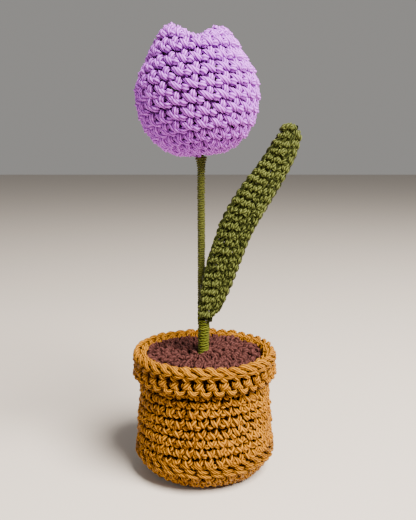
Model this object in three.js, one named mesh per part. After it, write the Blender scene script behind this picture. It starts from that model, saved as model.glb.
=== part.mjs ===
// A crocheted tulip in a crocheted pot. Millimetres, +Z up, origin at the centre of the pot's base.
import * as THREE from 'three';

// Pot: one piece of crochet, worked from the middle of the base out and up.
const BASE_ROUND_PITCH = 4.6;
const BASE_FLAT_ROUNDS = 4;
const BASE_ROUNDS = 7;
const BASE_EYE_RADIUS = 3.4;
const POT_FOOT = { radius: 28.9, height: 7.6 };
const POT_NECK = { radius: 26.8, height: 38.9 };
const POT_BAND_RADIUS = 30.0;
const POT_HEIGHT = 52.2;
const POT_INNER_RADIUS = 24.2;
const POT_WALL = 2.8;
const POT_WALL_ROUNDS = 8;
const POT_STITCHES = 36;
const POT_WIDE_ROUNDS = 3;
const POT_WIDE_STITCHES = 42;

// Soil: a crocheted disc on the filling.
const SOIL_RADIUS = 23.85;
const SOIL_TOP = 50.4;
const SOIL_UNDERSIDE = 46.4;
const SOIL_ROUNDS = 6;

// Stem: a steel wire in wound yarn, bound to the leaf's wire lower down.
const STEM = { x: -1.35, y: 0 };
const STEM_WIRE_RADIUS = 0.8;
const STEM_WRAP_RADIUS = 1.72;
const STEM_WRAP_FLARE = 2.4;
const STEM_WRAP_TOP = 130.3;
const BINDING = { x: -0.5, y: -0.35, radius: 2.4, topRadius: 2.7, top: 63.6 };
const WIRE_FOOT = 15.0;
const WRAP_PITCH = 2.1;
const WRAP_DEPTH = 0.25;

// Flower: a stuffed ball of crochet whose top edge is drawn together at three points.
const FLOWER_FOOT = 131.0;
const FLOWER_LEAN_LEFT = THREE.MathUtils.degToRad(4.5);
const FLOWER_LEAN_BACK = THREE.MathUtils.degToRad(3.5);
const FLOWER_WALL = 2.6;
const FLOWER_STITCHES = 24;
const FLOWER_ROUNDS = 13;
const LOBES = [{ azimuth: -54, reach: 1.3 }, { azimuth: 70, reach: 1 }, { azimuth: 171, reach: 1 }];
const FLOWER_WIRE_REACH = 20.0;

// Leaf: three rows of crochet along a wire.
const LEAF_THICKNESS = 3.4;
const LEAF_ROWS = 3;
const LEAF_STITCHES = 25;
const LEAF_ROW_DEPTH = 0.75;
const LEAF_STITCH_DEPTH = 0.6;
const LEAF_WIRE_RADIUS = 0.45;
const LEAF_WIRE_TIP = 0.93;

// How far the hollows between stitches and between rounds lie behind the yarn's crest.
const STITCH_DEPTH = 1.1;
const ROUND_DEPTH = 1.4;
const GAP = 0.32;
const TURN = 2 * Math.PI;

const yarn = (color) => new THREE.MeshStandardMaterial({ color, roughness: 0.92, metalness: 0 });
const steel = () => new THREE.MeshStandardMaterial({ color: 0xa6a8ab, roughness: 0.4, metalness: 1 });
const stuffing = () => new THREE.MeshStandardMaterial({ color: 0xe6e2d8, roughness: 1, metalness: 0 });

// One ring of points, each given by place(angle, index).
function ring(count, place) {
  const points = [];
  for (let i = 0; i < count; i += 1) points.push(place(TURN * i / count, i));
  return points;
}

const tip = (x, y, z) => [new THREE.Vector3(x, y, z)];

// A level circle of points.
function circle(count, radius, height, centre = { x: 0, y: 0 }) {
  return ring(count, (a) => new THREE.Vector3(
    centre.x + radius * Math.cos(a), centre.y + radius * Math.sin(a), height));
}

// Triangles between two neighbouring rings, which may have different counts.
function joinRings(lower, upper, startLower, startUpper, triangles) {
  const n = lower.length;
  const m = upper.length;
  let i = 0;
  let j = 0;
  while (i < n || j < m) {
    const nextLower = n === 1 || i === n ? Infinity : (i + 1) / n;
    const nextUpper = m === 1 || j === m ? Infinity : (j + 1) / m;
    if (nextLower === Infinity && nextUpper === Infinity) break;
    const a = startLower + i % n;
    const b = startUpper + j % m;
    if (nextLower <= nextUpper) {
      triangles.push(a, startLower + (i + 1) % n, b);
      i += 1;
    } else {
      triangles.push(a, startUpper + (j + 1) % m, b);
      j += 1;
    }
  }
}

// A closed skin over a chain of rings: its ends are single points, or it runs back to its first ring.
function skin(rings, runsRound = false) {
  const starts = [];
  const positions = [];
  for (const item of rings) {
    starts.push(positions.length / 3);
    for (const p of item) positions.push(p.x, p.y, p.z);
  }
  const triangles = [];
  const pairs = runsRound ? rings.length : rings.length - 1;
  for (let k = 0; k < pairs; k += 1) {
    const next = (k + 1) % rings.length;
    joinRings(rings[k], rings[next], starts[k], starts[next], triangles);
  }
  if (signedVolume(positions, triangles) < 0) triangles.reverse();
  const geometry = new THREE.BufferGeometry();
  geometry.setAttribute('position', new THREE.Float32BufferAttribute(positions, 3));
  geometry.setIndex(triangles);
  geometry.computeVertexNormals();
  return geometry;
}

function signedVolume(positions, triangles) {
  const corner = (index) => new THREE.Vector3().fromArray(positions, 3 * index);
  let six = 0;
  for (let t = 0; t < triangles.length; t += 3) {
    const [a, b, c] = [corner(triangles[t]), corner(triangles[t + 1]), corner(triangles[t + 2])];
    six += a.dot(b.cross(c));
  }
  return six / 6;
}

// An outline through one point per round, read by round number. Points are [radius, height].
function outline(points) {
  const curve = new THREE.SplineCurve(points.map(([r, z]) => new THREE.Vector2(r, z)));
  const last = points.length - 1;
  return (round) => curve.getPoint(THREE.MathUtils.clamp(round / last, 0, 1));
}

// The outline moved inwards by depth. The outline runs with the solid on its left.
function inset(line, round, depth) {
  const step = 0.02;
  const tangent = line(round + step).sub(line(round - step)).normalize();
  const point = line(round);
  return new THREE.Vector2(point.x - tangent.y * depth, point.y + tangent.x * depth);
}

// Depth of the crochet relief at a ring's point: each stitch is a high point and a low one.
const stitchDepth = (index) => (index % 2 === 0 ? 0 : STITCH_DEPTH);

function mesh(name, geometry, material) {
  const item = new THREE.Mesh(geometry, material);
  item.name = name;
  return item;
}

function roundTube(path, radius, steps, sides) {
  const section = new THREE.Shape().absarc(0, 0, radius, 0, TURN, false);
  return new THREE.ExtrudeGeometry(section, { steps, curveSegments: sides / 2, extrudePath: path });
}

// Pot: base rounds that grow by six stitches, a ridge of free loops, the wall, and a band round the rim.
function makePot() {
  const rings = [tip(0, 0, 0), circle(12, BASE_EYE_RADIUS, 0)];
  rings.push(...baseRings(), ...loopRings(RIDGE_OUTLINE), ...wallRings(), ...loopRings(BAND_OUTLINE));
  for (const [radius, height] of potLining(0).reverse()) rings.push(circle(36, radius, height));
  rings.push(tip(0, 0, POT_WALL));
  return mesh('pot', skin(rings), yarn(0xc8964b));
}

// The base is flat where it rests, with a groove between rounds, and its outer rounds curve up to the ridge.
const baseLine = outline([0, 1, 2, 3, 4].map((round) => [BASE_ROUND_PITCH * round, 0])
  .concat([[22.9, 1.2], [26.3, 3.9], [POT_FOOT.radius - 0.4, POT_FOOT.height]]));

function baseRings() {
  const rings = [];
  for (let round = 1; round < BASE_ROUNDS; round += 1) {
    const count = 2 * Math.min(6 * (round + 1), POT_STITCHES);
    rings.push(turned(baseLine, round, count, () => ROUND_DEPTH));
    if (round < BASE_FLAT_ROUNDS) {
      rings.push(turned(baseLine, round + 0.25, count, () => 0));
      rings.push(turned(baseLine, round + 0.75, count, () => 0));
    } else {
      rings.push(turned(baseLine, round + 0.5, count, stitchDepth));
    }
  }
  return rings;
}

// The ridge: a plait of free loops over the turn of the base, with small holes over it. It hides the
// foot of the wall's first round.
// Each line is a ring's radius and height, how deep its low points lie, and whether they are shifted by one.
const RIDGE_OUTLINE = [
  [POT_FOOT.radius - 1.5, POT_FOOT.height + 0.2, 0, 0],
  [POT_FOOT.radius + 0.6, POT_FOOT.height + 0.6, 0.4, 0],
  [POT_FOOT.radius + 0.5, POT_FOOT.height + 1.8, 0.5, 1],
  [POT_FOOT.radius - 0.4, POT_FOOT.height + 2.6, 1.2, 0],
  [POT_FOOT.radius + 0.2, POT_FOOT.height + 3.6, 0.5, 1],
];

function wallLine(round) {
  const part = round / POT_WALL_ROUNDS;
  const taper = Math.max(0, part) ** 1.5;
  return new THREE.Vector2(
    THREE.MathUtils.lerp(POT_FOOT.radius, POT_NECK.radius, taper),
    THREE.MathUtils.lerp(POT_FOOT.height, POT_NECK.height, part));
}

function wallRings() {
  const rings = [];
  for (let round = 1; round < POT_WALL_ROUNDS; round += 1) {
    const columns = 2 * (round > POT_WIDE_ROUNDS ? POT_STITCHES : POT_WIDE_STITCHES);
    rings.push(turned(wallLine, round + 0.15, columns, () => ROUND_DEPTH));
    rings.push(turned(wallLine, round + 0.6, columns, (i) => stitchDepth(i + round)));
  }
  return rings;
}

// The pot's inner surface from the middle of its floor up, or the same a little further in.
function potLining(gap) {
  return [
    [9, POT_WALL + gap],
    [BASE_FLAT_ROUNDS * BASE_ROUND_PITCH + 1, POT_WALL + 0.6 + gap],
    [POT_FOOT.radius - POT_WALL - 1.2 - gap, POT_FOOT.height + gap],
    [POT_FOOT.radius - POT_WALL - gap, 2 * POT_FOOT.height],
    [POT_INNER_RADIUS - gap, POT_NECK.height - 4],
  ];
}

// A ring of points round a turned outline, each set in by its own depth.
function turned(line, round, count, depth) {
  return ring(count, (a, i) => {
    const p = inset(line, round, depth(i));
    return new THREE.Vector3(p.x * Math.cos(a), p.x * Math.sin(a), p.y);
  });
}

// The band: a ledge of hanging loops, a row of posts with holes between, and a plait of loops on top.
const BAND_OUTLINE = [
  [POT_NECK.radius - 0.6, POT_NECK.height + 0.3, 0, 0],
  [POT_BAND_RADIUS - 1.7, 41.0, 0.5, 0],
  [POT_BAND_RADIUS - 0.9, 42.6, STITCH_DEPTH, 0],
  [POT_BAND_RADIUS - 1.9, 44.6, 0.3, 0],
  [POT_BAND_RADIUS - 0.7, 46.4, 1.9, 1],
  [POT_BAND_RADIUS - 1.3, 48.2, 0.3, 1],
  [POT_BAND_RADIUS, 50.0, 0.8, 0],
  [POT_BAND_RADIUS - 1.9, POT_HEIGHT, 0.8, 1],
  [POT_INNER_RADIUS + 1.2, POT_HEIGHT - 0.7, 0.4, 0],
  [POT_INNER_RADIUS, POT_HEIGHT - 2.6, 0, 0],
];

function loopRings(outlineRows) {
  return outlineRows.map(([radius, height, depth, shift]) => ring(2 * POT_STITCHES, (a, i) => {
    const r = radius - ((i + shift) % 2 === 0 ? 0 : depth);
    return new THREE.Vector3(r * Math.cos(a), r * Math.sin(a), height);
  }));
}

// Filling: a firm plug of stuffing with a hole for the bound wires.
function makePotFilling() {
  const hole = BINDING.radius + GAP;
  const top = SOIL_UNDERSIDE - GAP;
  const foot = WIRE_FOOT - GAP;
  const rings = [tip(0, 0, POT_WALL + GAP)];
  for (const [radius, height] of potLining(GAP)) rings.push(circle(36, radius, height));
  rings.push(circle(36, POT_INNER_RADIUS - GAP, top));
  rings.push(circle(12, hole, top, BINDING), circle(12, hole, foot, BINDING));
  rings.push(tip(BINDING.x, BINDING.y, foot));
  return mesh('pot_filling', skin(rings), stuffing());
}

// Soil: rounds of crochet outwards from the stem's hole, a little domed.
function makeSoil() {
  const hole = BINDING.radius + GAP;
  const pitch = (SOIL_RADIUS - hole) / SOIL_ROUNDS;
  const place = (round) => new THREE.Vector2(hole + pitch * round, SOIL_TOP - 0.06 * (round - 2) ** 2);
  const rings = [];
  const soilRing = (round, count, depth) => ring(count, (a, i) => {
    const p = place(round);
    const drawIn = 1 - round / SOIL_ROUNDS;
    return new THREE.Vector3(
      BINDING.x * drawIn + p.x * Math.cos(a), BINDING.y * drawIn + p.x * Math.sin(a), p.y - depth(i));
  });
  for (let round = 0; round < SOIL_ROUNDS; round += 1) {
    const count = 12 * (round + 1);
    rings.push(soilRing(round, count, () => ROUND_DEPTH));
    rings.push(soilRing(round + 0.5, count, stitchDepth));
  }
  rings.push(circle(48, SOIL_RADIUS, SOIL_TOP - 1.6));
  rings.push(circle(48, SOIL_RADIUS, SOIL_UNDERSIDE));
  rings.push(circle(12, hole, SOIL_UNDERSIDE, BINDING));
  return mesh('soil', skin(rings, true), yarn(0x6b3f3a));
}

const flowerFoot = new THREE.Vector3(STEM.x, STEM.y, FLOWER_FOOT);
const flowerAxis = new THREE.Vector3(
  -Math.tan(FLOWER_LEAN_LEFT), Math.tan(FLOWER_LEAN_BACK), 1).normalize();
const alongFlower = (reach) => flowerFoot.clone().addScaledVector(flowerAxis, reach);

// Stem wire: straight up from the pot, with its end leaning into the flower.
function makeStemWire() {
  const at = (z) => new THREE.Vector3(STEM.x, STEM.y, z);
  const path = new THREE.CatmullRomCurve3([at(WIRE_FOOT), at(70), at(120), at(129), alongFlower(3),
    alongFlower(FLOWER_WIRE_REACH)]);
  return mesh('stem_wire', roundTube(path, STEM_WIRE_RADIUS, 18, 8), steel());
}

// Stem wrap: turns of yarn close together round the wire, spread where they meet the flower.
function makeStemWrap() {
  const foot = BINDING.top + GAP;
  const turns = Math.floor((STEM_WRAP_TOP - 3 - foot) / WRAP_PITCH);
  const rings = [];
  for (let turn = 0; turn < turns; turn += 1) {
    rings.push(circle(10, STEM_WRAP_RADIUS - WRAP_DEPTH, foot + WRAP_PITCH * turn, STEM));
    rings.push(circle(10, STEM_WRAP_RADIUS, foot + WRAP_PITCH * (turn + 0.5), STEM));
  }
  rings.push(circle(10, STEM_WRAP_RADIUS, STEM_WRAP_TOP - 2.6, STEM));
  rings.push(circle(10, STEM_WRAP_FLARE, STEM_WRAP_TOP, STEM));
  rings.push(circle(10, STEM_WIRE_RADIUS + GAP, STEM_WRAP_TOP, STEM));
  rings.push(circle(10, STEM_WIRE_RADIUS + GAP, foot, STEM));
  return mesh('stem_wrap', skin(rings, true), yarn(0x6c6f2c));
}

// The leaf's middle line, from its foot in front of the stem up to its tip.
const leafLine = new THREE.CatmullRomCurve3([
  new THREE.Vector3(0.7, -3.3, 65.2),
  new THREE.Vector3(3.3, -4.2, 74.0),
  new THREE.Vector3(6.4, -4.8, 85.0),
  new THREE.Vector3(9.4, -5.2, 94.8),
  new THREE.Vector3(13.3, -5.4, 105.4),
  new THREE.Vector3(19.7, -5.0, 116.3),
  new THREE.Vector3(27.0, -3.8, 126.6),
  new THREE.Vector3(32.2, -2.4, 136.0),
  new THREE.Vector3(34.4, -1.4, 144.0),
]);

// Half of the leaf's width at six even parts of its length, without the rounded ends.
const LEAF_HALF_WIDTHS = [3.8, 6.2, 6.6, 6.8, 5.9, 4.5];
const leafHalfWidth = new THREE.SplineCurve(LEAF_HALF_WIDTHS.map((half, k) => new THREE.Vector2(k, half)));

// The leaf wire's way down from the leaf's foot, beside the stem wire.
const leafWireFoot = [
  new THREE.Vector3(-0.02, -0.98, WIRE_FOOT),
  new THREE.Vector3(-0.02, -0.98, 57.0),
  new THREE.Vector3(0.2, -1.55, 61.2),
];
const leafWirePath = new THREE.CatmullRomCurve3([
  ...leafWireFoot, ...[0.0, 0.15, 0.3, 0.45, 0.6, 0.75, LEAF_WIRE_TIP].map((t) => leafLine.getPointAt(t))]);

function makeLeafWire() {
  return mesh('leaf_wire', roundTube(leafWirePath, LEAF_WIRE_RADIUS, 40, 6), steel());
}

// The part of the leaf wire's path at which it crosses a level.
function leafWirePart(height) {
  let low = 0;
  let high = 1;
  for (let k = 0; k < 24; k += 1) {
    const middle = (low + high) / 2;
    if (leafWirePath.getPoint(middle).z < height) low = middle;
    else high = middle;
  }
  return low;
}

// Binding: thicker winding round both wires, from the leaf's foot down into the pot.
function makeBinding() {
  const plainTop = SOIL_TOP - 4;
  const shape = (height) => {
    const part = THREE.MathUtils.smoothstep(height, 54, BINDING.top);
    return {
      x: BINDING.x + 0.15 * part, y: BINDING.y - 0.65 * part,
      radius: THREE.MathUtils.lerp(BINDING.radius, BINDING.topRadius, part),
    };
  };
  const outside = (height, depth) => circle(12, shape(height).radius - depth, height, shape(height));
  const bore = (height) => {
    const wire = leafWirePath.getPoint(leafWirePart(height));
    const holds = [{ x: STEM.x, y: STEM.y, radius: STEM_WIRE_RADIUS + GAP },
      { x: wire.x, y: wire.y, radius: LEAF_WIRE_RADIUS + 1.3 * GAP }];
    return ring(12, (a) => {
      const reach = ({ x, y, radius }) => x * Math.cos(a) + y * Math.sin(a) + radius;
      const far = reach(holds[0]) > reach(holds[1]) ? holds[0] : holds[1];
      return new THREE.Vector3(far.x + far.radius * Math.cos(a), far.y + far.radius * Math.sin(a), height);
    });
  };
  const rings = [outside(WIRE_FOOT, WRAP_DEPTH), outside(plainTop, WRAP_DEPTH)];
  const turns = Math.floor((BINDING.top - plainTop) / WRAP_PITCH);
  const pitch = (BINDING.top - plainTop) / turns;
  for (let turn = 0; turn < turns; turn += 1) {
    rings.push(outside(plainTop + pitch * (turn + 0.5), 0));
    rings.push(outside(plainTop + pitch * (turn + 1), WRAP_DEPTH));
  }
  for (const height of [BINDING.top, 62, 60, 57, WIRE_FOOT]) rings.push(bore(height));
  return mesh('binding', skin(rings, true), yarn(0x86892f));
}

// Leaf: rows of stitches along the middle line. Its sections are flat rings with a bump for each row.
function makeLeaf() {
  const frameAt = (t) => {
    const tangent = leafLine.getTangentAt(t);
    const face = new THREE.Vector3(0, -1, 0).addScaledVector(tangent, tangent.y).normalize();
    return { centre: leafLine.getPointAt(t), across: new THREE.Vector3().crossVectors(face, tangent), face };
  };
  const across = 2 * LEAF_ROWS;
  const section = (t, scale, depth) => {
    const { centre, across: side, face } = frameAt(t);
    const half = leafHalfWidth.getPoint(t).y * scale;
    const points = [];
    for (let k = 0; k < 2 * across; k += 1) {
      const back = k > across;
      const step = back ? 2 * across - k : k;
      const edge = step === 0 || step === across;
      const low = step % 2 === 0 ? LEAF_ROW_DEPTH : 0;
      const rise = edge ? 0 : (LEAF_THICKNESS / 2) * (0.5 + 0.5 * scale) - low - depth;
      const p = centre.clone().addScaledVector(side, half * (1 - 2 * step / across));
      points.push(p.addScaledVector(face, back ? -rise : rise));
    }
    return points;
  };
  const crests = 2 * LEAF_STITCHES;
  const rings = [];
  const tipPoint = leafLine.getPointAt(1);
  rings.push(tip(tipPoint.x, tipPoint.y, tipPoint.z));
  for (let k = crests - 1; k > 0; k -= 1) {
    const t = k / crests;
    const roundedEnd = Math.min(1, Math.sqrt(1 - Math.max(0, (t - 0.93) / 0.07) ** 2));
    const foot = Math.min(1, 0.55 + t * 6);
    const groove = k % 2 === 0;
    rings.push(section(t, roundedEnd * foot * (groove ? 0.94 : 1), groove ? LEAF_STITCH_DEPTH : 0));
  }
  const footPart = 0.008;
  rings.push(section(footPart, 0.5, 0.2));
  const channel = LEAF_WIRE_RADIUS + GAP;
  const channelRing = (centre, tangent) => {
    const face = new THREE.Vector3(0, -1, 0).addScaledVector(tangent, tangent.y).normalize();
    const side = new THREE.Vector3().crossVectors(face, tangent);
    return ring(8, (a) => centre.clone()
      .addScaledVector(side, channel * Math.cos(a)).addScaledVector(face, channel * Math.sin(a)));
  };
  const channelSteps = 30;
  const mouth = leafWirePart(leafLine.getPointAt(footPart).z);
  for (let k = 0; k <= channelSteps; k += 1) {
    const part = THREE.MathUtils.lerp(mouth, 1, k / channelSteps);
    rings.push(channelRing(leafWirePath.getPoint(part), leafWirePath.getTangent(part)));
  }
  const end = leafWirePath.getPoint(1).addScaledVector(leafWirePath.getTangent(1), 0.6);
  rings.push(channelRing(end, leafWirePath.getTangent(1)));
  rings.push(tip(end.x, end.y, end.z));
  return mesh('leaf', skin(rings), yarn(0x6b6f30));
}

// Flower outlines, one point per round: down a hollow between the lobes, and up the middle of a lobe.
const FLOWER_BODY = [[2.2, 0.5], [6.6, 0.2], [11.2, 1.2], [15.7, 3.8], [19.8, 8.1], [22.6, 12.8],
  [24.2, 17.9], [24.9, 23.1], [24.5, 28.5], [22.7, 33.8], [19.9, 39.2]];
const hollowLine = outline([...FLOWER_BODY, [16.0, 43.8], [7.4, 45.2], [0.0, 45.8]]);
const lobeLine = outline([...FLOWER_BODY, [16.6, 45.0], [11.6, 49.6], [0.0, 45.8]]);

// How much of a lobe stands at an angle: its reach on its middle, nothing halfway to the next.
function lobeShare(angle) {
  let share = 0;
  for (const { azimuth, reach } of LOBES) {
    const turn = angle - THREE.MathUtils.degToRad(azimuth - 90);
    const away = Math.abs(Math.atan2(Math.sin(turn), Math.cos(turn)));
    const lobeHalfAngle = Math.PI / 3;
    const nearness = Math.max(0, 1 - away / lobeHalfAngle);
    share = Math.max(share, reach * Math.sin(nearness * Math.PI / 2) ** 1.5);
  }
  return share;
}

function makeFlower() {
  const rings = [tip(0, 0, hollowLine(FLOWER_ROUNDS).y - ROUND_DEPTH)];
  const flowerRing = (round, count, depth) => ring(count, (a, i) => {
    const hollow = inset(hollowLine, round, depth(i));
    const lobe = inset(lobeLine, round, depth(i));
    const p = hollow.lerp(lobe, lobeShare(a));
    return new THREE.Vector3(p.x * Math.cos(a), p.x * Math.sin(a), p.y);
  });
  const stitches = (round) => {
    if (round === FLOWER_ROUNDS - 1) return FLOWER_STITCHES / 2;
    return Math.min(FLOWER_STITCHES, 6 * (round + 1));
  };
  for (let round = FLOWER_ROUNDS - 1; round >= 0; round -= 1) {
    const count = 3 * stitches(round);
    const stitch = (i) => [0, 0.3, STITCH_DEPTH][(i + round) % 3];
    rings.push(flowerRing(round + (round === FLOWER_ROUNDS - 1 ? 0.4 : 0.6), count, stitch));
    rings.push(flowerRing(round, count, () => (round === 0 ? 0 : ROUND_DEPTH)));
  }
  const lining = 24;
  for (let round = 0; round < FLOWER_ROUNDS; round += 1) {
    rings.push(turned(hollowLine, round, lining, () => FLOWER_WALL));
  }
  rings.push(tip(0, 0, hollowLine(FLOWER_ROUNDS).y - FLOWER_WALL));
  return mesh('flower', skin(rings), yarn(0xbe8fe0));
}

// Stuffing: fills the flower, with the hole that the stem wire is pushed into.
function makeFlowerStuffing() {
  const depth = FLOWER_WALL + GAP;
  const rings = [tip(0, 0, hollowLine(FLOWER_ROUNDS).y - depth)];
  for (let round = FLOWER_ROUNDS - 1; round >= 0; round -= 1) {
    rings.push(turned(hollowLine, round, 24, () => depth));
  }
  const hole = STEM_WIRE_RADIUS + GAP;
  const mouth = hollowLine(0).y + depth;
  const end = FLOWER_WIRE_REACH + GAP;
  rings.push(circle(8, hole, mouth), circle(8, hole, end), tip(0, 0, end));
  return mesh('flower_stuffing', skin(rings), stuffing());
}

const tulip = new THREE.Group();
tulip.add(makePot(), makePotFilling(), makeSoil());
tulip.add(makeStemWire(), makeStemWrap(), makeLeafWire(), makeBinding(), makeLeaf());
const head = new THREE.Group();
head.position.copy(flowerFoot);
head.quaternion.setFromUnitVectors(new THREE.Vector3(0, 0, 1), flowerAxis);
head.add(makeFlower(), makeFlowerStuffing());
tulip.add(head);

export default tulip;
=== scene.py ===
import math
import bmesh
import bpy
import numpy as np
from mathutils import Matrix, Vector, noise


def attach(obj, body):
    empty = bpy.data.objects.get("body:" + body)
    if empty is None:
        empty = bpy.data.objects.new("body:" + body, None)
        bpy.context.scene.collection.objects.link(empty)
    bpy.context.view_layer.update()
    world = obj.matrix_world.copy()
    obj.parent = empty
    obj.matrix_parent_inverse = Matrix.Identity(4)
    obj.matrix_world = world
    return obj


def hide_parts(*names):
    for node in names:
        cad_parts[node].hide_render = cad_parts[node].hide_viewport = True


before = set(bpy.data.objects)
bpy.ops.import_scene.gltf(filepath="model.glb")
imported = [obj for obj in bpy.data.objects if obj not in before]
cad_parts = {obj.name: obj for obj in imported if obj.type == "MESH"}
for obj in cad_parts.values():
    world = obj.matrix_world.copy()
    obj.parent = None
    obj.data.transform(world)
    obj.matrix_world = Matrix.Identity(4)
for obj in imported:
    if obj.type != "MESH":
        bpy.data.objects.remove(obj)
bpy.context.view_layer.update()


# The flower's cover: a ball of single crochet in lilac cotton, worked in one spiral from the stem's
# hole up and drawn together at three points at the top. It is one long strand of six-ply yarn that
# loops through itself, so it is laid here as one strand too.

MM = 0.001
FLOWER_FOOT = Vector((-1.0, 0.0, 131.5)) * MM
FLOWER_LEAN_LEFT = math.radians(4.5)
FLOWER_LEAN_BACK = math.radians(3.5)
FLOWER_AXIS = Vector((-math.tan(FLOWER_LEAN_LEFT), math.tan(FLOWER_LEAN_BACK), 1.0)).normalized()
FLOWER_YARN = 1.0 * MM
FLOWER_PLIES = 6
FLOWER_SINK = 2.45 * FLOWER_YARN
FLOWER_ROW_TILT = 0.15
FLOWER_SWELL = 0.11 * MM

# the rounds from the stem's hole up; the top ones climb less and less, and the last closes the ball
FLOWER_STITCHES = [6, 12, 18] + 9 * [24] + [14, 7]
FLOWER_CLIMB = 9 * [1.0] + [0.7, 0.4, 0.1, 0.0, 0.0]
FLOWER_SLIP = 0.18 / 24
FLOWER_LAST_ROUND = 13.7

# the yarn's tones: painted shade for deep down between the plies and in the cloth, its own, and a paler one
# for its fibres and dye and for the painted highlight along the crests
LILAC = [(0.10, 0.014, 0.13, 1), (0.30, 0.050, 0.52, 1), (0.72, 0.18, 1.0, 1)]

# radius and height at each round, in the hollows between the lobes and along a lobe
FLOWER_BODY = [(2.2, 0.5), (6.6, 0.2), (11.2, 1.2), (15.7, 3.8), (19.8, 8.1), (22.6, 12.8), (24.2, 17.9),
               (24.9, 23.1), (24.4, 28.5), (22.3, 33.8), (19.3, 39.2)]
FLOWER_HOLLOW = FLOWER_BODY + [(16.0, 43.8), (9.2, 45.0), (4.2, 45.6), (0.0, 45.8)]
FLOWER_LOBE = FLOWER_BODY + [(16.6, 45.0), (11.6, 49.6), (5.2, 47.6), (0.0, 45.8)]

# the three lobes: how far round from the front, to the right, and how far each reaches up. A lobe fades
# out over a half turn divided by LOBE_NARROW
LOBES = [(math.radians(-46), 1.2), (math.radians(70), 0.92), (math.radians(171), 1.0)]
LOBE_NARROW = 3.4

# One single crochet stitch, as its yarn runs: stitches along the round, rounds up, yarn radii out from
# the cloth's middle, and thickness. A long leg leans up to the left, the yarn goes behind to the right,
# a short leg comes down beside it, and the loop to the next one shows as a round bump low between the
# two stitches. Where the yarn goes behind it is thick, which closes the cloth.
SINGLE_CROCHET = [
    (0.88, 0.33, -0.8, 0.58), (0.85, 0.26, 0.30, 0.96), (0.75, 0.24, 0.95, 1.20), (0.58, 0.36, 1.28, 1.30),
    (0.38, 0.55, 1.25, 1.26), (0.18, 0.74, 0.90, 1.08), (0.05, 0.87, 0.30, 0.82), (-0.01, 0.95, -0.8, 0.55),
    (0.20, 0.99, -1.20, 1.35), (0.42, 1.05, -1.20, 1.35), (0.62, 1.06, -0.8, 0.58), (0.64, 1.00, 0.35, 0.98),
    (0.67, 0.90, 0.95, 1.28), (0.68, 0.76, 1.18, 1.40), (0.67, 0.62, 0.90, 1.28), (0.65, 0.53, 0.30, 0.96),
    (0.66, 0.44, -0.8, 0.60), (0.84, 0.54, -1.30, 1.35), (0.98, 0.25, -0.7, 0.66), (1.01, 0.24, 0.50, 1.18),
    (1.05, 0.23, 1.10, 1.52), (1.10, 0.22, 1.32, 1.62), (1.15, 0.21, 1.10, 1.52), (1.19, 0.20, 0.50, 1.18),
    (1.22, 0.19, -0.7, 0.66), (1.40, 0.08, -1.20, 1.35), (1.66, 0.08, -1.20, 1.35),
]
CROCHET_DETAIL = 3 * [1] + [2] + 23 * [1]

# how far single points, and whole stitches, stray by hand: in the same four measures
POINT_STRAYS = (0.014, 0.014, 0.06, 0.03)
STITCH_STRAYS = (0.035, 0.03, 0.12, 0.03)


def smooth_run(controls, where):
    """Points of a smooth curve through controls, read by control number."""
    controls = np.asarray(controls, float)
    last = len(controls) - 1
    where = np.clip(where, 0, last - 1e-9)
    k = where.astype(int)
    t = (where - k)[..., None]
    before = controls[np.maximum(k - 1, 0)]
    start = controls[k]
    end = controls[k + 1]
    after = controls[np.minimum(k + 2, last)]
    return 0.5 * (2 * start + (end - before) * t + (2 * before - 5 * start + 4 * end - after) * t ** 2
                  + (3 * start - before - 3 * end + after) * t ** 3)


def work_rounds(stitch, counts, slip, uneven, seed, climb=1.0):
    """The yarn of whole rounds of one stitch: turns of the round, rounds up, radii out, thickness. Each
    round starts a little further on, by slip turns, and climbs by a part of its height."""
    draw = np.random.default_rng(seed)
    stitch = np.array(stitch)
    climb = np.resize(climb, len(counts))
    rows = []
    for number, count in enumerate(counts):
        for place in range(count):
            run = stitch + draw.normal(0, 1, stitch.shape) * POINT_STRAYS * uneven
            run += draw.normal(0, 1, 4) * STITCH_STRAYS * uneven
            part = (place + run[:, 0]) / count
            run[:, 0] = part + slip * number
            run[:, 1] += number + climb[number] * (part - 0.5)
            rows.append(run)
    return np.concatenate(rows)


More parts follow.
